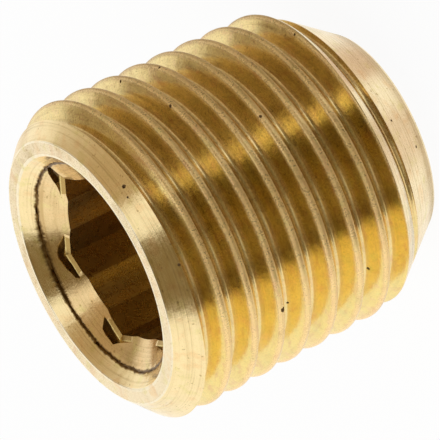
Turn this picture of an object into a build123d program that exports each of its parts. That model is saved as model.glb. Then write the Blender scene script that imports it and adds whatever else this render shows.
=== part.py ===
"""Hex socket plug in brass: a taper-thread pipe plug, turned from bar in one piece.

Millimetres. The plug stands on its closed tip end with the socket mouth up. +Z is its
turning axis, and the origin is the centre of the tip face.
"""

from build123d import *
from math import atan, ceil, cos, degrees, radians, sin, tan
import os

# --- body -----------------------------------------------------------------------------
overall_length = 14.0  # tip face to mouth face
tip_face_diameter = 9.0  # flat closed end
tip_cone_angle = 37.0  # lead-in cone, from the axis

# --- taper pipe thread R 1/4: 19 turns to the inch, 55 degree form, taper 1 in 16 ---------
thread_pitch = 1.337
thread_angle = 55.0  # included
thread_truncation = 1 / 6  # of the sharp V's height, off the crest and off the root
thread_taper = 1 / 16  # change of diameter along the axis
gauge_diameter = 13.157  # major diameter at the gauge plane
gauge_length = 4.7  # tip face to gauge plane
thread_oversize = 0.26  # on diameter: the plug is cut full, so that it binds early in its port
groove_start_angle = 65.0  # round the axis, where the cutter enters below the tip

# --- mouth ----------------------------------------------------------------------------
rim_chamfer_width = 1.15  # radial, thread crests to rim
rim_chamfer_angle = 45.0  # from the axis
rim_width = 0.65  # flat ring round the mouth
countersink_width = 0.55  # radial
countersink_angle = 90.0  # included
mouth_cone_angle = 105.0  # included, flatter cone between countersink and socket

# --- hexagon socket -------------------------------------------------------------------
hex_across_flats = 7.0
hex_depth = 7.0  # mouth face to the end of the flats
lead_in_width = 0.2  # radial, the hexagon's wider mouth
lead_in_depth = 1.17  # mouth face to the foot of the wider mouth
lead_in_angle = 114.0  # included, facets from the wider mouth to the flats
pilot_oversize = 0.16  # pilot drill over the flats' width, so it hollows each flat's middle
pilot_point_angle = 118.0  # included

# --- outside --------------------------------------------------------------------------
crest_slope = thread_taper / 2
tip_crest_radius = (gauge_diameter + thread_oversize) / 2 - gauge_length * crest_slope


def crest_radius(height):
    """Radius over the thread crests at a height above the tip face."""
    return tip_crest_radius + height * crest_slope


tip_face_radius = tip_face_diameter / 2
tip_cone_slope = tan(radians(tip_cone_angle))
tip_cone_top = (tip_crest_radius - tip_face_radius) / (tip_cone_slope - crest_slope)

rim_outer_radius = crest_radius(overall_length) - rim_chamfer_width
rim_chamfer_slope = tan(radians(rim_chamfer_angle))
rim_chamfer_bottom = overall_length - rim_chamfer_width / (rim_chamfer_slope + crest_slope)

# --- mouth and bore, outside in -----------------------------------------------------------
mouth_cone_slope = tan(radians(mouth_cone_angle / 2))
countersink_radius = rim_outer_radius - rim_width
mouth_cone_radius = countersink_radius - countersink_width
mouth_cone_top = overall_length - countersink_width / tan(radians(countersink_angle / 2))
pilot_radius = (hex_across_flats + pilot_oversize) / 2
pilot_top = mouth_cone_top - (mouth_cone_radius - pilot_radius) / mouth_cone_slope
hex_inradius = hex_across_flats / 2
hex_bottom = overall_length - hex_depth
pilot_end = hex_bottom - pilot_radius / tan(radians(pilot_point_angle / 2))
lead_in_inradius = hex_inradius + lead_in_width
lead_in_foot = overall_length - lead_in_depth
lead_in_end = lead_in_foot - lead_in_width / tan(radians(lead_in_angle / 2))

# --- thread groove's section, cut one turn at a time up a tapered helix --------------------
flank_slope = tan(radians(thread_angle / 2))
sharp_height = thread_pitch / (2 * flank_slope)
thread_depth = sharp_height * (1 - 2 * thread_truncation)
crest_flat = thread_pitch * thread_truncation
cutter_clearance = 0.05  # the cutter's back stands this far outside the crests
groove_half_width = (thread_pitch - crest_flat) / 2
groove_back_half_width = groove_half_width + cutter_clearance * flank_slope
groove_root_half_width = groove_half_width - thread_depth * flank_slope
groove_start = -thread_pitch  # the cutter enters a turn below the tip
groove_turns = ceil(overall_length / thread_pitch) + 1  # and leaves above the mouth
start = radians(groove_start_angle)

with BuildPart() as plug:
    # turned blank with its drilled and countersunk mouth
    with BuildSketch(Plane.XZ):
        with BuildLine():
            Polyline(
                (0, 0),
                (tip_face_radius, 0),
                (crest_radius(tip_cone_top), tip_cone_top),
                (crest_radius(rim_chamfer_bottom), rim_chamfer_bottom),
                (rim_outer_radius, overall_length),
                (countersink_radius, overall_length),
                (mouth_cone_radius, mouth_cone_top),
                (pilot_radius, pilot_top),
                (pilot_radius, hex_bottom),
                (0, pilot_end),
                close=True,
            )
        make_face()
    revolve(axis=Axis.Z)

    # hexagon, its wider mouth, and the facets between the two
    with BuildSketch(Plane.XY.offset(hex_bottom)):
        RegularPolygon(radius=hex_inradius, side_count=6, major_radius=False)
    extrude(amount=hex_depth, mode=Mode.SUBTRACT)
    with BuildSketch(Plane.XY.offset(lead_in_foot)):
        RegularPolygon(radius=lead_in_inradius, side_count=6, major_radius=False)
    extrude(amount=lead_in_depth, mode=Mode.SUBTRACT)
    with BuildSketch(Plane.XY.offset(lead_in_foot)):
        RegularPolygon(radius=lead_in_inradius, side_count=6, major_radius=False)
    with BuildSketch(Plane.XY.offset(lead_in_end)):
        RegularPolygon(radius=hex_inradius, side_count=6, major_radius=False)
    loft(mode=Mode.SUBTRACT)

    # right-hand taper thread
    for turn in range(groove_turns):
        turn_start = groove_start + turn * thread_pitch
        turn_radius = crest_radius(turn_start)
        turn_plane = Plane(
            origin=(0, 0, turn_start),
            x_dir=(cos(start), sin(start), 0),
            z_dir=(sin(start), -cos(start), 0),
        )
        with BuildLine(Plane.XY.rotated((0, 0, groove_start_angle))) as turn_path:
            Helix(
                pitch=thread_pitch,
                height=thread_pitch,
                radius=turn_radius,
                center=(0, 0, turn_start),
                cone_angle=degrees(atan(crest_slope)),
            )
        with BuildSketch(turn_plane):
            with BuildLine():
                Polyline(
                    (turn_radius + cutter_clearance, -groove_back_half_width),
                    (turn_radius + cutter_clearance, groove_back_half_width),
                    (turn_radius - thread_depth, groove_root_half_width),
                    (turn_radius - thread_depth, -groove_root_half_width),
                    close=True,
                )
            make_face()
        sweep(path=turn_path.line, is_frenet=True, mode=Mode.SUBTRACT)

plug.part.label = "hex_socket_plug"
os.makedirs("parts", exist_ok=True)
export_step(plug.part, "parts/hex_socket_plug.step")
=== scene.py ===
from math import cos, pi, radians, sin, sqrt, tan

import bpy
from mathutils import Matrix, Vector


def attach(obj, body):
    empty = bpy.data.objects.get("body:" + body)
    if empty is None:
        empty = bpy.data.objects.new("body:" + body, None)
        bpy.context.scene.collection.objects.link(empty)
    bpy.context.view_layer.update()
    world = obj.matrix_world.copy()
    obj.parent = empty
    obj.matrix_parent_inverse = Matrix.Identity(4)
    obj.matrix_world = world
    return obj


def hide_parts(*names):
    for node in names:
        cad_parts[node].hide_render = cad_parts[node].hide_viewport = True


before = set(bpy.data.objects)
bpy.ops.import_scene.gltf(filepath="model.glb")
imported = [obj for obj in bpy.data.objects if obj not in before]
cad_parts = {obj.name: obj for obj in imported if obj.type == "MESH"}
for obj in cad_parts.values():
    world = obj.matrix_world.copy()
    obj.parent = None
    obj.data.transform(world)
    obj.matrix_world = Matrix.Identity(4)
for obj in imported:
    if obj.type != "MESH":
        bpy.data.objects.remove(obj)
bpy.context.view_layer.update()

# Hex socket plug: one turned, threaded and broached piece of brass, standing on its tip.
# Lengths are metres, written as a number of millimetres times mm, unless a comment says that they
# are bare millimetres. A slope is how much a radius gains over a height.

mm = 0.001

# ---------------------------------------------------------------- the plug's own sizes
plug_length = 14.0 * mm
tip_face_radius = 4.5 * mm
tip_cone_slope = tan(radians(37))

thread_pitch = 1.337 * mm
thread_depth = 0.856 * mm
thread_round = 0.17 * mm  # along the crests and the roots
crest_flat = 0.223 * mm  # the crest's width before it is rounded
crest_slope = 1 / 32
tip_crest_radius = 6.5616 * mm
flank_slope = tan(radians(27.5))  # a height over a radius
groove_start_angle = radians(65)

rim_chamfer_width = 1.15 * mm
rim_width = 0.65 * mm
countersink_width = 0.55 * mm
mouth_cone_slope = tan(radians(52.5))

hex_inradius = 3.5 * mm
hex_depth = 7.0 * mm
lead_in_width = 0.2 * mm
lead_in_depth = 1.17 * mm
lead_in_slope = tan(radians(57))
pilot_radius = 3.58 * mm
pilot_point_radius = 0.02 * mm
pilot_point_slope = tan(radians(59))

edge_round = 0.05 * mm  # the clean edges that the turning tool leaves
burr_height = 0.04 * mm
ring_steps = 256
smooth_angle = radians(28)


def crest_radius(height):
    return tip_crest_radius + height * crest_slope


# ---------------------------------------------------------------- modelling helpers
def start_clean():
    """Leaves edit mode and deselects everything."""
    if bpy.context.object and bpy.context.object.mode != "OBJECT":
        bpy.ops.object.mode_set(mode="OBJECT")
    bpy.ops.object.select_all(action="DESELECT")


def pick(piece):
    """Selects one piece, so that the next operators work on it alone."""
    start_clean()
    piece.select_set(True)
    bpy.context.view_layer.objects.active = piece


def edit_all():
    """Enters edit mode with the whole mesh selected."""
    bpy.ops.object.mode_set(mode="EDIT")
    bpy.ops.mesh.select_all(action="SELECT")


def face_outwards():
    """The last step on a closed shape: its faces are turned outwards and edit mode is left."""
    bpy.ops.mesh.select_all(action="SELECT")
    bpy.ops.mesh.normals_make_consistent(inside=False)
    bpy.ops.object.mode_set(mode="OBJECT")


def new_piece(name, points, edges=(), faces=()):
    """A piece of these points, edges and faces, picked for the next operators."""
    mesh = bpy.data.meshes.new(name)
    mesh.from_pydata(points, edges, faces)
    piece = bpy.data.objects.new(name, mesh)
    bpy.context.collection.objects.link(piece)
    pick(piece)
    return piece


def raise_rings(rings):
    """Grows the selected face through rings of (radius, height) by extruding and scaling it."""
    radius, height = rings[0]
    for next_radius, next_height in rings[1:]:
        bpy.ops.mesh.extrude_region_move(
            TRANSFORM_OT_translate={"value": (0, 0, next_height - height)}
        )
        bpy.ops.transform.resize(
            value=(next_radius / radius, next_radius / radius, 1),
            center_override=(0, 0, next_height),
        )
        radius, height = next_radius, next_height


def turned_solid(name, rings, steps, turn=0.0):
    """A closed solid grown from a disc: rings is its outline, from the first face to the last."""
    start_clean()
    bpy.ops.mesh.primitive_circle_add(
        vertices=steps,
        radius=rings[0][0],
        fill_type="NGON",
        location=(0, 0, rings[0][1]),
        rotation=(0, 0, turn),
    )
    solid = bpy.context.object
    solid.name = name
    bpy.ops.object.transform_apply(location=True, rotation=True, scale=True)
    edit_all()
    raise_rings(rings)
    face_outwards()
    return solid


def cut(solid, cutter):
    """Cuts one closed shape out of another. The cut faces take the cutter's material."""
    pick(solid)
    modifier = solid.modifiers.new("cut", "BOOLEAN")
    modifier.operation = "DIFFERENCE"
    modifier.solver = "EXACT"
    modifier.material_mode = "TRANSFER"
    modifier.object = cutter
    bpy.ops.object.modifier_apply(modifier=modifier.name)
    bpy.data.objects.remove(cutter)


def rounded(corner, before, after, radius, parts=4):
    """Points of the arc that rounds a corner between its two neighbours in an outline."""
    corner, before, after = Vector(corner), Vector(before), Vector(after)
    back, forth = (before - corner).normalized(), (after - corner).normalized()
    half = back.angle(forth) / 2
    centre = corner + (back + forth).normalized() * (radius / sin(half))
    start, end = corner + back * (radius / tan(half)), corner + forth * (radius / tan(half))
    arc = []
    for k in range(parts + 1):
        on_chord = start.lerp(end, k / parts)
        arc.append(tuple(centre + (on_chord - centre).normalized() * radius))
    return arc


def rounded_outline(corners):
    """The points of an outline through (radius, height, rounding) corners."""
    points = [corner[:2] for corner in corners]
    outline = []
    for k, (radius, height, rounding) in enumerate(corners):
        if rounding:
            outline += rounded(points[k], points[k - 1], points[k + 1], rounding)
        else:
            outline.append((radius, height))
    return outline


# ---------------------------------------------------------------- blank: bar turned and drilled
tip_cone_top = (tip_crest_radius - tip_face_radius) / (tip_cone_slope - crest_slope)
rim_radius = crest_radius(plug_length) - rim_chamfer_width
rim_chamfer_bottom = plug_length - rim_chamfer_width / (1 + crest_slope)
countersink_radius = rim_radius - rim_width
mouth_cone_radius = countersink_radius - countersink_width
mouth_cone_top = plug_length - countersink_width
hex_bottom = plug_length - hex_depth
pilot_point = hex_bottom - pilot_radius / pilot_point_slope


def on_mouth_cone(radius):
    """A sharp corner of the blank's outline, on the drill's cone inside the mouth."""
    return radius, mouth_cone_top - (mouth_cone_radius - radius) / mouth_cone_slope, 0


# The blank's outline as radius, height and rounding: up the outside and down into the bore.
blank_corners = [
    (0.5 * mm, 0, 0),
    (tip_face_radius, 0, edge_round),
    (crest_radius(tip_cone_top), tip_cone_top, 0),
    (crest_radius(rim_chamfer_bottom), rim_chamfer_bottom, edge_round),
    (rim_radius, plug_length, edge_round),
    (countersink_radius, plug_length, edge_round),
    (mouth_cone_radius + 2 * burr_height, mouth_cone_top + 2 * burr_height, 0),
    (mouth_cone_radius + burr_height, mouth_cone_top + burr_height, 0),
    (mouth_cone_radius + burr_height / 2, mouth_cone_top - burr_height / 2, 0),
    on_mouth_cone(mouth_cone_radius - burr_height),
    on_mouth_cone(mouth_cone_radius - 2 * burr_height),
    on_mouth_cone(4.35 * mm),
    on_mouth_cone(4.1 * mm),
    on_mouth_cone(3.85 * mm),
    on_mouth_cone(pilot_radius),
    (pilot_radius, hex_bottom, 0),
    (pilot_point_radius, pilot_point, 0),
]


def make_blank():
    """The turned blank, with the torn ring of burr where the drill met the countersink."""
    blank = turned_solid("hex_socket_plug_body", rounded_outline(blank_corners), ring_steps)
    bpy.ops.object.mode_set(mode="EDIT")
    bpy.ops.mesh.select_all(action="DESELECT")
    bpy.ops.mesh.select_mode(type="VERT")
    bpy.ops.object.mode_set(mode="OBJECT")
    near = burr_height * 1.1
    for vertex in blank.data.vertices:
        radius = sqrt(vertex.co.x**2 + vertex.co.y**2)
        near_edge = abs(radius - mouth_cone_radius) < near
        vertex.select = near_edge and abs(vertex.co.z - mouth_cone_top) < near
    bpy.ops.object.mode_set(mode="EDIT")
    bpy.ops.transform.vertex_random(offset=burr_height * 0.7, seed=4, wait_for_input=False)
    bpy.ops.object.mode_set(mode="OBJECT")
    return blank


# ---------------------------------------------------------------- hexagon broach
def make_broach():
    """The hexagon of the flats, which widens to the lead-in and goes on out of the mouth."""
    corner = 1 / cos(pi / 6)  # a hexagon's corner radius over its flat's
    lead_in_foot = plug_length - lead_in_depth
    lead_in_end = lead_in_foot - lead_in_width / lead_in_slope
    rings = [
        (hex_inradius * corner, hex_bottom),
        (hex_inradius * corner, lead_in_end),
        ((hex_inradius + lead_in_width) * corner, lead_in_foot),
        ((hex_inradius + lead_in_width) * corner, plug_length + 1 * mm),
    ]
    return turned_solid("broach", rings, 6, turn=radians(30))


# ---------------------------------------------------------------- thread cutter
groove_turns = 12
groove_back = 0.04 * mm  # how far the cutter's back stands outside the crests
groove_over = 0.004 * mm  # the crest's rounding starts this far outside, so that it cuts cleanly


def groove_section():
    """The cutter's (radius, height) outline at the tip: one groove between two half crests."""
    half_width = (thread_pitch - crest_flat) / 2
    root_half_width = half_width - thread_depth * flank_slope
    root = tip_crest_radius - thread_depth
    top = tip_crest_radius + groove_over
    top_half_width = half_width + groove_over * flank_slope
    section = rounded_outline(
        [
            (top, -thread_pitch / 2, 0),
            (top, -top_half_width, thread_round),
            (root, -root_half_width, thread_round),
            (root, root_half_width, thread_round),
            (top, top_half_width, thread_round),
            (top, thread_pitch / 2, 0),
        ]
    )
    section[0] = (top + groove_back, section[1][1])
    section[-1] = (top + groove_back, section[-2][1])
    return section


def open_with_taper(cutter):
    """Moves each point outwards by what the taper gains up to its height."""
    for vertex in cutter.data.vertices:
        radius = sqrt(vertex.co.x**2 + vertex.co.y**2)
        grown = (radius + vertex.co.z * crest_slope) / radius
        vertex.co.x *= grown
        vertex.co.y *= grown


def make_thread_cutter():
    """The groove's section screwed up the whole thread, opened out with the taper and closed."""
    section = groove_section()
    x_part = cos(groove_start_angle)
    y_part = sin(groove_start_angle)
    cutter = new_piece(
        "thread_cutter",
        [(radius * x_part, radius * y_part, height - thread_pitch) for radius, height in section],
        edges=[(k, (k + 1) % len(section)) for k in range(len(section))],
    )
    screw = cutter.modifiers.new("screw", "SCREW")
    screw.axis = "Z"
    screw.angle = 2 * pi
    screw.screw_offset = thread_pitch
    screw.iterations = groove_turns
    screw.steps = screw.render_steps = ring_steps
    screw.use_merge_vertices = False
    bpy.ops.object.modifier_apply(modifier=screw.name)
    open_with_taper(cutter)
    edit_all()
    bpy.ops.mesh.remove_doubles(threshold=0.0005 * mm)
    bpy.ops.mesh.select_all(action="DESELECT")
    bpy.ops.mesh.select_mode(type="EDGE")
    bpy.ops.mesh.select_non_manifold()
    bpy.ops.mesh.fill_holes(sides=0)
    face_outwards()
    return cutter


# ---------------------------------------------------------------- places torn out by the broach
# Beside three corners of the hexagon: degrees round the axis and radius in bare millimetres.
corner_chips = [
    [
        (-12.2, 4.6), (-8.8, 4.64), (-3.2, 4.48), (2.6, 4.22),
        (8, 3.95), (4, 3.75), (-6, 3.75), (-8.4, 4.19),
    ],
    [
        (46, 3.86), (53, 4.17), (56.4, 4.27), (60, 4.3),
        (66.3, 4.18), (73.8, 3.99), (77, 3.75), (60, 3.75),
    ],
    [
        (103, 3.8), (104.8, 3.93), (108, 4.18), (111.9, 4.24),
        (120, 4.3), (123, 4.15), (116, 3.72),
    ],
]
# The floor of a torn place, in bare millimetres: level as far as the bend, then rising outwards.
chip_floor_height = 12.82
chip_floor_bend = 4.2
chip_floor_rise = 0.9
chip_cutter_height = 1.2 * mm


def make_corner_chip(outline):
    """The cutter of one torn place, from its floor to above the cone inside the mouth."""
    points = []
    for angle, radius in outline:
        turn = radians(angle)
        height = chip_floor_height + max(0, radius - chip_floor_bend) * chip_floor_rise
        points.append((radius * cos(turn) * mm, radius * sin(turn) * mm, height * mm))
    chip = new_piece("corner_chip", points, faces=[range(len(points))])
    edit_all()
    bpy.ops.mesh.extrude_region_move(
        TRANSFORM_OT_translate={"value": (0, 0, chip_cutter_height)}
    )
    bpy.ops.mesh.select_all(action="SELECT")
    bpy.ops.mesh.quads_convert_to_tris()
    face_outwards()
    return chip


# ---------------------------------------------------------------- pits
# Degrees round the axis, then height and radius in bare millimetres. The last six are behind.
pits = [
    (210.6, 9.18, 0.13),
    (204.8, 8.41, 0.06),
    (200.6, 4.34, 0.08),
    (278.6, 13.50, 0.09),
    (274.4, 13.60, 0.05),
    (243.9, 13.17, 0.07),
    (328.5, 9.86, 0.07),
    (321.6, 8.38, 0.06),
    (298.1, 9.71, 0.08),
    (278.0, 6.88, 0.07),
    (304.6, 3.03, 0.06),
    (256.4, 1.44, 0.06),
    (240.2, 0.60, 0.06),
    (120.0, 6.1, 0.06),
    (95.0, 10.4, 0.05),
    (60.0, 3.6, 0.06),
    (20.0, 8.9, 0.05),
    (155.0, 12.1, 0.05),
    (40.0, 13.4, 0.04),
]
well_outside = 9  # bare millimetres from the axis, where the aim for each pit starts


def make_pits(solid, lining):
    """Small rough balls where pits and knocks lie on the solid's outside, joined in one cutter."""
    cutters = []
    for angle, height, size in pits:
        turn = radians(angle)
        outwards = Vector((cos(turn), sin(turn), 0))
        start = outwards * well_outside * mm + Vector((0, 0, height * mm))
        place = solid.ray_cast(start, -outwards)[1]
        start_clean()
        bpy.ops.mesh.primitive_ico_sphere_add(subdivisions=2, radius=size * mm, location=place)
        cutter = bpy.context.object
        bpy.ops.object.mode_set(mode="EDIT")
        bpy.ops.transform.vertex_random(
            offset=size * 0.3 * mm, seed=int(angle), wait_for_input=False
        )
        bpy.ops.object.mode_set(mode="OBJECT")
        cutter.data.materials.append(lining)
        cutters.append(cutter)
    pick(cutters[0])
    for cutter in cutters:
        cutter.select_set(True)
    bpy.ops.object.join()
    return cutters[0]


# ---------------------------------------------------------------- the plug's main cuts
plug = make_blank()
cut(plug, make_broach())
cut(plug, make_thread_cutter())
for outline in corner_chips:
    cut(plug, make_corner_chip(outline))

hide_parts("hex_socket_plug")
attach(plug, "root")


# ---------------------------------------------------------------- shader sums
class Wire:
    """A node's output in a material. Sums on it add Math nodes; node() adds any other node."""

    def __init__(self, tree, socket=None):
        self.tree = tree
        self.socket = socket

    def node(self, kind, settings=None, sockets=None, out=0):
        added = self.tree.nodes.new(kind)
        for name, value in (settings or {}).items():
            setattr(added, name, value)
        for name, value in (sockets or {}).items():
            if isinstance(value, Wire):
                self.tree.links.new(value.socket, added.inputs[name])
            else:
                added.inputs[name].default_value = value
        return Wire(self.tree, added.outputs[out] if added.outputs else None)

    def maths(self, operation, *values):
        return self.node("ShaderNodeMath", {"operation": operation}, dict(enumerate(values)))

    def __add__(self, other):
        return self.maths("ADD", self, other)

    def __radd__(self, other):
        return self.maths("ADD", other, self)

    def __sub__(self, other):
        return self.maths("SUBTRACT", self, other)

    def __rsub__(self, other):
        return self.maths("SUBTRACT", other, self)

    def __mul__(self, other):
        return self.maths("MULTIPLY", self, other)

    def __rmul__(self, other):
        return self.maths("MULTIPLY", other, self)

    def __truediv__(self, other):
        return self.maths("DIVIDE", self, other)

    def __rtruediv__(self, other):
        return self.maths("DIVIDE", other, self)

    def __pow__(self, other):
        return self.maths("POWER", self, other)

    def __gt__(self, other):
        return self.maths("GREATER_THAN", self, other)

    def __lt__(self, other):
        return self.maths("LESS_THAN", self, other)

    def __abs__(self):
        return self.maths("ABSOLUTE", self)

    def most(self, other):
        return self.maths("MAXIMUM", self, other)

    def rise(self, start, end):
        """0 before start and 1 after end, smooth between them."""
        sockets = {"Value": self, "From Min": start, "From Max": end}
        return self.node("ShaderNodeMapRange", {"interpolation_type": "SMOOTHSTEP"}, sockets)

    def noise(self, scale, detail, w=None):
        """Noise over this vector, or over it and w."""
        settings = {"noise_dimensions": "3D" if w is None else "4D"}
        sockets = {"Vector": self, "Scale": scale, "Detail": detail}
        if w is not None:
            sockets["W"] = w
        return self.node("ShaderNodeTexNoise", settings, sockets)

    def along(self, axis):
        """This vector's dot product with an axis."""
        settings = {"operation": "DOT_PRODUCT"}
        return self.node("ShaderNodeVectorMath", settings, {0: self, 1: axis}, out="Value")


def vector(x, y, z):
    wire = next(v for v in (x, y, z) if isinstance(v, Wire))
    return wire.node("ShaderNodeCombineXYZ", None, {"X": x, "Y": y, "Z": z})


def mixed(factor, plain, other):
    """A colour between two others, each a wire or three numbers."""
    plain, other = (c if isinstance(c, Wire) else (*c, 1) for c in (plain, other))
    # A Mix node has sockets for each kind of value: its colours are inputs 6 and 7 and output 2.
    return factor.node("ShaderNodeMix", {"data_type": "RGBA"}, {0: factor, 6: plain, 7: other}, out=2)


def layered(colour, layers):
    """A colour with (how much, colour) layers laid over it, one after another."""
    for amount, layer in layers:
        colour = mixed(amount, colour, layer)
    return colour


def new_material(name):
    """An empty material, and a wire from which its nodes are added."""
    material = bpy.data.materials.new(name)
    material.use_nodes = True
    material.node_tree.nodes.clear()
    return material, Wire(material.node_tree)


def finish_material(start, surface):
    start.node("ShaderNodeOutputMaterial", None, {"Surface": surface})


def place_in_millimetres(start):
    place = start.node("ShaderNodeTexCoord", out="Object")
    return place.node("ShaderNodeVectorMath", {"operation": "SCALE"}, {0: place, "Scale": 1 / mm})


def bearing_of(ahead, sideways):
    """Degrees from straight ahead, positive towards the side."""
    return sideways.maths("ARCTAN2", sideways, ahead) * (180 / pi)


# ---------------------------------------------------------------- brass: where a point lies
# All lengths in the brass are bare millimetres, and each face is 0 or 1.
brass, brass_start = new_material("turned_brass")
place = place_in_millimetres(brass_start)
x, y, z = (place.node("ShaderNodeSeparateXYZ", None, {0: place}, out=axis) for axis in "XYZ")
radius = (x * x + y * y) ** 0.5
along_x = x / radius
along_y = y / radius
crest_depth = tip_crest_radius / mm + z * crest_slope - radius
above_cone = z - (mouth_cone_top / mm - (mouth_cone_radius / mm - radius) / mouth_cone_slope)

# Heights and radii that part the faces from each other.
cone_foot = 12.5
flats_top = 12.8
lead_in_top = 13.3
lead_in_reach = 4.4
countersink_foot = 13.4
countersink_reach = 5.3
rim_foot = plug_length / mm - 0.03
chamfer_sum = (rim_radius + plug_length) / mm - 0.05  # radius and height together, at 45 degrees

mouth_cone = (above_cone > -0.02) * (radius < mouth_cone_radius / mm) * (z > cone_foot)
socket_face = (radius < lead_in_reach) * (z < lead_in_top) * (1 - mouth_cone)
mouth_face = (radius + z) > chamfer_sum
mouth_face = mouth_face.most((radius < countersink_reach) * (z > countersink_foot))
tip_face = (radius - z * tip_cone_slope) > tip_face_radius / mm - 0.04
tip_face = tip_face.most(z < 0.03)
thread = 1 - socket_face.most(mouth_cone).most(mouth_face).most(tip_face)
rim_face = z > rim_foot
flats = socket_face * (radius > pilot_radius / mm + 0.008)  # what the broach cut, not the drill


def side(angle):
    """How far a point of the plug faces this angle round the axis: 1 on that side, -1 opposite."""
    return along_x * cos(radians(angle)) + along_y * sin(radians(angle))


# Painted light: on the side at 175 degrees, which faces the window light, the thread is browned less.
painted_lit_side = side(175).rise(0.2, 0.9)
dull_side = side(310).rise(0.6, 0.9)

# ---------------------------------------------------------------- brass: patterns
# A noise scale counts spots to the millimetre: fine grain comes first and broad patches last.
grain = place.noise(14.0, 2.0)
specks = place.noise(5.5, 2.0)
blotches = place.noise(2.6, 4.0)
tint = place.noise(1.9, 4.0, 3.0)
waves = place.noise(1.7, 3.0)
patches = place.noise(0.9, 3.0)
stains = vector(x * 1.2, y * 1.2, z * 2.4).noise(1.0, 4.0, 7.0).rise(0.54, 0.68)

# How many pitches a point lies up the thread gives its distance, along the axis, from the
# middle of the crest.
pitches_up = z / (thread_pitch / mm) - (y.maths("ARCTAN2", y, x) - groove_start_angle) / (2 * pi)
from_crest = (pitches_up.maths("FRACT", pitches_up) - 0.5) * (thread_pitch / mm)
crest = thread * (crest_depth + (blotches - 0.5) * 0.16).rise(0.20, 0.04)
crest_lit_edge = from_crest.rise(-0.01, 0.07)
root = thread * crest_depth.rise(0.58, 0.80)

# Fine lines that the tools leave: round each turned face, down the socket and along the thread.
ring_lines = vector(radius * 13, along_x * 0.9, along_y * 0.9).noise(1.0, 3.0)
broach_lines = vector(x * 8, y * 8, z * 0.35).noise(1.0, 2.0)
thread_lines = vector(from_crest * 13, along_x * 1.6, along_y * 1.6).noise(1.0, 4.0, z * 0.6)
lines = thread * thread_lines + (1 - thread) * ring_lines
lines = lines + socket_face * (broach_lines - lines)
scuffs = vector(from_crest * 7, along_x * 9, along_y * 9).noise(1.0, 3.0, z * 0.9)

# ---------------------------------------------------------------- brass: torn places
# The walls and floors that the corner chips leave, just outside the hexagon of the lead-in.
chip_reach = 4.7
chip_hex_inradius = 3.72
chip_floor = chip_floor_height + (radius - chip_floor_bend).most(0) * chip_floor_rise
hex_reach = abs(y).most(abs(x) * cos(radians(30)) + abs(y) * 0.5)  # square to the nearest flat
torn = (z > chip_floor - 0.04) * (above_cone < -0.03)
torn = torn * (hex_reach > chip_hex_inradius) * (radius < chip_reach)

# The ragged ring where the drill's cone meets the countersink.
burr_foot = 13.2
burr_top = 13.7
round_the_bore = vector(along_x * 16, along_y * 16, 0)
wander = round_the_bore.noise(1.0, 2.0) - 0.5
raggedness = round_the_bore.noise(2.3, 1.0)
heavy_side = side(60).rise(0.90, 0.99)
from_ring = abs(radius - mouth_cone_radius / mm - wander * 0.14)
burr_spread = (0.06 + raggedness * 0.08) * (1 + heavy_side * 0.8)
burr = (1 - from_ring.rise(0.03, burr_spread)) * (z > burr_foot) * (z < burr_top)
bruise = mouth_cone * radius.rise(4.38, 4.46) * side(35).rise(0.86, 0.97)

# ---------------------------------------------------------------- brass: colour
pale = (1.0, 0.80, 0.43)
gold = (0.96, 0.74, 0.26)
olive = (0.84, 0.72, 0.28)
copper = (0.94, 0.63, 0.30)
cream = (1.0, 0.88, 0.62)
cone_tan = (0.91, 0.67, 0.34)
tip_tan = (1.0, 0.82, 0.51)
crest_tan = (0.98, 0.70, 0.31)
root_tan = (0.93, 0.72, 0.40)
socket_gold = (0.84, 0.66, 0.27)
socket_shade_brown = (0.52, 0.35, 0.12)
milky_tan = (0.93, 0.76, 0.50)
dull_brown = (0.45, 0.30, 0.10)
scuff_red = (0.72, 0.40, 0.20)
bruise_brown = (0.62, 0.42, 0.18)
shade_and_dirt_brown = (0.15, 0.08, 0.02)

# How much each spot is browned: by grain and patches, tool lines, specks and stains, and less on the
# window side of the thread as painted light.
browned = grain.rise(0.58, 0.30) * (0.18 + thread * 0.22) + patches.rise(0.55, 0.35) * 0.15
browned = browned * (1 - mouth_face * 0.6)
browned = browned + lines.rise(0.55, 0.25) * (0.36 - rim_face * 0.16)
browned = browned + specks.rise(0.66, 0.72) * 0.5 + stains * thread * 0.3
browned = browned * (1 - thread * painted_lit_side * 0.6)

colour = layered(
    pale,
    [
        (thread, gold),
        (rim_face, cream),
        (mouth_cone, cone_tan),
        (tip_face, tip_tan),
        (crest, crest_tan),
        (root * 0.5, root_tan),
        (tint.rise(0.52, 0.70) * 0.55, olive),
        (tint.rise(0.48, 0.30) * 0.55, copper),
        (socket_face, socket_gold),
        # Painted shade: the broached flats deep in the socket are coloured dark brown.
        (flats * (z < flats_top), socket_shade_brown),
        (thread * (1 - crest) * dull_side * 0.25, milky_tan),
        (browned, dull_brown),
        (thread * scuffs.rise(0.54, 0.70) * 0.4, scuff_red),
        # The crest is browned except along its mouth-side edge: a dull crest, with a painted
        # highlight along that edge.
        (crest * (1 - crest_lit_edge) * 0.2, dull_brown),
        # Painted shade: the walls and floors of the torn places are coloured nearly black.
        (torn * 0.9, shade_and_dirt_brown),
        (bruise * 0.8, bruise_brown),
        # The burr ring is coloured dark: partly dirt, partly a painted shadow of the burr.
        (burr, shade_and_dirt_brown),
    ],
)

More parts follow.
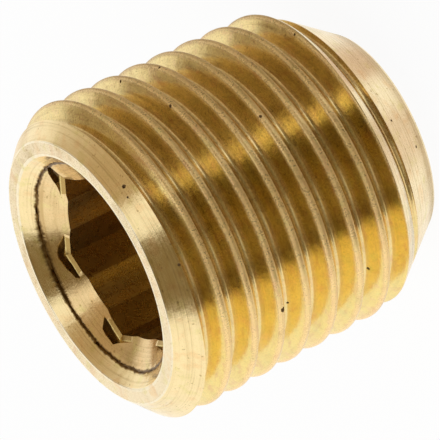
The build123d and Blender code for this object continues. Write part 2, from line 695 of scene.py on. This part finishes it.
# ---------------------------------------------------------------- brass: gloss and relief
roughness = 0.18 + crest * 0.11 + tip_face * 0.08 + (blotches - 0.5) * 0.16 + (grain - 0.5) * 0.10
roughness = roughness + socket_face * 0.1
metal = 1 - crest * (0.27 + blotches * 0.12 + crest_lit_edge * 0.10) - root * 0.10
relief = (
    lines * (1 + mouth_face * 2.5 + thread * 0.5)
    + scuffs * thread * 0.7
    + grain * 0.6
    + waves * 3
    + stains * thread * 0.6
    - burr * 2.5
)
bump = brass_start.node(
    "ShaderNodeBump", None, {"Strength": 1.0, "Distance": 0.0025 * mm, "Height": relief}
)
brass_shader = brass_start.node(
    "ShaderNodeBsdfPrincipled",
    None,
    {"Base Color": colour, "Metallic": metal, "Roughness": roughness, "Normal": bump},
)
finish_material(brass_start, brass_shader)
plug.data.materials.clear()
plug.data.materials.append(brass)


# ---------------------------------------------------------------- pits and smooth shading
def make_grime():
    """Dark dirt that sits in the pits."""
    grime, start = new_material("pit_grime")
    speckle = place_in_millimetres(start).noise(8.0, 2.0)
    dirt = mixed(speckle, (0.10, 0.05, 0.02), (0.30, 0.18, 0.06))
    shader = start.node(
        "ShaderNodeBsdfPrincipled", None, {"Base Color": dirt, "Metallic": 0.4, "Roughness": 0.6}
    )
    finish_material(start, shader)
    return grime


cut(plug, make_pits(plug, make_grime()))
pick(plug)
bpy.ops.object.shade_smooth_by_angle(angle=smooth_angle)

# ---------------------------------------------------------------- camera
image_side = 440  # pixels
pixel = 0.0407 * mm  # at the plug
mouth_at = (90.1, 273.0)  # where the middle of the mouth face shows, in pixels from the top left
azimuth = radians(-14.9)
elevation = radians(23.92)
roll = radians(116.3)
lens = 1430.0  # so long that the view is almost parallel
sensor = 36.0

back = Vector((sin(azimuth) * cos(elevation), -cos(azimuth) * cos(elevation), sin(elevation)))
level = Vector((cos(azimuth), sin(azimuth), 0))
upright = back.cross(level)
right = level * cos(roll) - upright * sin(roll)
up = upright * cos(roll) + level * sin(roll)
distance = lens / sensor * image_side * pixel
middle = (
    Vector((0, 0, plug_length))
    + right * (image_side / 2 - mouth_at[0]) * pixel
    - up * (image_side / 2 - mouth_at[1]) * pixel
)

camera_data = bpy.data.cameras.new("camera")
camera_data.lens = lens
camera_data.sensor_width = sensor
camera_data.clip_start = 0.01
camera_data.clip_end = 10
camera = bpy.data.objects.new("camera", camera_data)
bpy.context.collection.objects.link(camera)
camera.location = middle + back * distance
camera.rotation_mode = "QUATERNION"
camera.rotation_quaternion = Matrix((right, up, back)).transposed().to_quaternion()
bpy.context.scene.camera = camera
bpy.context.scene.view_settings.view_transform = "Standard"


# ---------------------------------------------------------------- floor
paper_glow = 0.93  # how much of the floor shows as plain white


def make_paper():
    """Matt white paper that is nearly plain white to the camera and in reflections."""
    paper, start = new_material("white_paper")
    seen = start.node("ShaderNodeLightPath", out="Is Camera Ray")
    for ray in ("Is Glossy Ray", "Is Transmission Ray"):
        seen = seen.most(start.node("ShaderNodeLightPath", out=ray))
    glow = start.node("ShaderNodeEmission", None, {"Color": (1, 1, 1, 1)})
    matt = start.node("ShaderNodeBsdfDiffuse", None, {"Color": (0.92, 0.92, 0.92, 1)})
    surface = start.node("ShaderNodeMixShader", None, {0: seen * paper_glow, 1: matt, 2: glow})
    finish_material(start, surface)
    return paper


start_clean()
bpy.ops.mesh.primitive_plane_add(size=4, location=(0, 0, 0))
floor = bpy.context.object
floor.name = "floor"
floor.data.materials.append(make_paper())

# ---------------------------------------------------------------- daylight
# Level directions round the plug: towards the camera, and aside, which is called right below.
towards = Vector((back.x, back.y, 0)).normalized()
aside = -level
dim_wall = (0.14, 0.13, 0.12)
bright_window = (1.45, 1.43, 1.40)


def make_daylight():
    """Soft daylight, strongest from a window at the right."""
    world = bpy.data.worlds.new("studio")
    bpy.context.scene.world = world
    world.use_nodes = True
    world.node_tree.nodes.clear()
    start = Wire(world.node_tree)
    window_angle = radians(95)
    window = (towards * cos(window_angle) + aside * sin(window_angle)) * 0.95 + Vector((0, 0, 0.3))
    facing = start.node("ShaderNodeTexCoord", out="Generated").along(window)
    daylight = mixed(facing.rise(-0.7, 0.9), dim_wall, bright_window)
    background = start.node("ShaderNodeBackground", None, {"Color": daylight})
    start.node("ShaderNodeOutputWorld", None, {"Surface": background})


make_daylight()

# ---------------------------------------------------------------- tent of white cloth and dark cards
# Only the brass sees it, as a reflection.
tent_radius = 300 * mm
white_cloth = (1.0, 1.0, 1.0)
dark_card = (0.185, 0.135, 0.06)
brown_card = (0.44, 0.34, 0.22)
low_card = (0.42, 0.32, 0.19)
back_card_foot = (0.38, 0.31, 0.22)
back_card_top = (0.19, 0.145, 0.085)


def parts(start):
    """The three parts of a tent point's place: towards the camera, aside and up."""
    place = start.node("ShaderNodeTexCoord", out="Object")
    return [place.along(axis) for axis in (towards, aside, (0, 0, 1))]


def only_reflected(piece, material):
    piece.visible_camera = False
    piece.visible_diffuse = False
    piece.visible_shadow = False
    piece.visible_transmission = False
    piece.data.materials.append(material)


def make_tent_cloth():
    """White cloth with a dark card overhead, brown ones at the left and a dark front low down."""
    cloth, start = new_material("tent_cloth")
    ahead, sideways, upwards = (part / tent_radius for part in parts(start))
    bearing = bearing_of(ahead, sideways)

    # On a level ceiling the card's edges are straight lines.
    ceiling_ahead = ahead / upwards.most(0.02)
    ceiling_side = sideways / upwards.most(0.02)
    right_of_card = (ceiling_side - ceiling_ahead * 0.66).rise(0.50, 0.72)
    left_of_card = (ceiling_side - ceiling_ahead * 0.056).rise(-0.05, -0.12)
    left_of_slit = (ceiling_side + ceiling_ahead * 0.3655).rise(-0.265, -0.32)
    back_wall = ahead.rise(-0.62, -0.8) * upwards.rise(0.6, 0.45)
    behind_left = bearing.rise(-122, -136) * bearing.rise(-170, -158) * upwards.rise(0.38, 0.56)
    back_card = mixed(upwards.rise(0.60, 0.85), back_card_foot, back_card_top)
    left = layered(
        brown_card,
        [
            (upwards.rise(0.85, 0.05), white_cloth),
            (behind_left, back_card),
        ],
    )

    # Low down, the front is dark between two side walls, with a small dim lamp in it.
    low_front = layered(
        dark_card,
        [
            (bearing.rise(14, 24) * bearing.rise(48, 38) * 0.3, white_cloth),
            (bearing.rise(-28, -36), low_card),
            (bearing.rise(-100, -150), white_cloth),
            (bearing.rise(60, 70), white_cloth),
        ],
    )
    low = upwards.rise(0.50, 0.38)
    low = low.most(upwards.rise(0.83, 0.76) * bearing.rise(-48, -36) * bearing.rise(70, 55))
    shade = layered(
        dark_card,
        [
            (left_of_card, white_cloth),
            (left_of_slit, left),
            (right_of_card.most(back_wall), white_cloth),
            (low, low_front),
        ],
    )
    finish_material(start, start.node("ShaderNodeEmission", None, {"Color": shade}))
    return cloth


start_clean()
bpy.ops.mesh.primitive_uv_sphere_add(segments=96, ring_count=48, radius=tent_radius)
tent = bpy.context.object
tent.name = "tent"
bpy.ops.object.shade_smooth()
only_reflected(tent, make_tent_cloth())

# ---------------------------------------------------------------- tent floor: sheets round the plug
warm_cloth = (1.0, 0.94, 0.86)
far_left_sheet = (0.44, 0.37, 0.28)
left_sheet = (0.26, 0.21, 0.14)
slit_sheet = (0.13, 0.10, 0.045)
black_sheet = (0.02, 0.01, 0.0)
cream_sheet = (0.90, 0.86, 0.78)
near_shade = (0.42, 0.15, 0.0)
near_white = (1.0, 1.0, 0.98)
under_plug_shadow = (0.6, 0.54, 0.46)
plug_side_radius = 6.6  # bare millimetres


def make_tent_floor_paint():
    """Sheets with straight edges, dark where they face the tent's opening."""
    paint, start = new_material("tent_floor_sheet")
    ahead, sideways = (part / mm for part in parts(start)[:2])
    reach = (ahead * ahead + sideways * sideways) ** 0.5
    bearing = bearing_of(ahead, sideways)
    right_half = sideways.rise(-2, 2)

    def beyond(angle, spread):
        """1 past the edge that the plug's side reflects at this angle from the camera, 0 before."""
        turn = radians(angle)
        side_from = sideways - plug_side_radius * sin(turn)
        ahead_from = ahead - plug_side_radius * cos(turn)
        across = side_from * cos(2 * turn) - ahead_from * sin(2 * turn)
        return (across / reach).rise(-spread, spread)

    # Close under the tip cone the sheet carries a painted shadow of the plug.
    lit = 1 - 0.46 * bearing.rise(-66, -42) * bearing.rise(-20, -34)
    lit = lit - 0.3 * bearing.rise(-14, 0) * bearing.rise(36, 12)
    shade = layered(
        warm_cloth,
        [
            (beyond(-79, 0.3), far_left_sheet),
            (beyond(-50, 0.35), left_sheet),
            (beyond(-21, 0.04), white_cloth),
            (beyond(-14, 0.04), slit_sheet),
            (beyond(-2, 0.06), dark_card),
            (bearing.rise(5, 18) * bearing.rise(52, 40) * 0.06, white_cloth),
            (beyond(24, 0.06) * right_half * 0.45, black_sheet),
            (beyond(33, 0.06) * right_half, cream_sheet),
            (beyond(44, 0.2) * right_half, white_cloth),
            (reach.rise(8.4, 7.2), mixed(lit, near_shade, near_white)),
            (reach.rise(4.9, 4.5), under_plug_shadow),
        ],
    )
    finish_material(start, start.node("ShaderNodeEmission", None, {"Color": shade}))
    return paint


start_clean()
bpy.ops.mesh.primitive_circle_add(
    vertices=96, radius=tent_radius * 0.98, fill_type="NGON", location=(0, 0, 0.1 * mm)
)
tent_floor = bpy.context.object
tent_floor.name = "tent_floor"
bpy.ops.object.transform_apply(location=True)
only_reflected(tent_floor, make_tent_floor_paint())
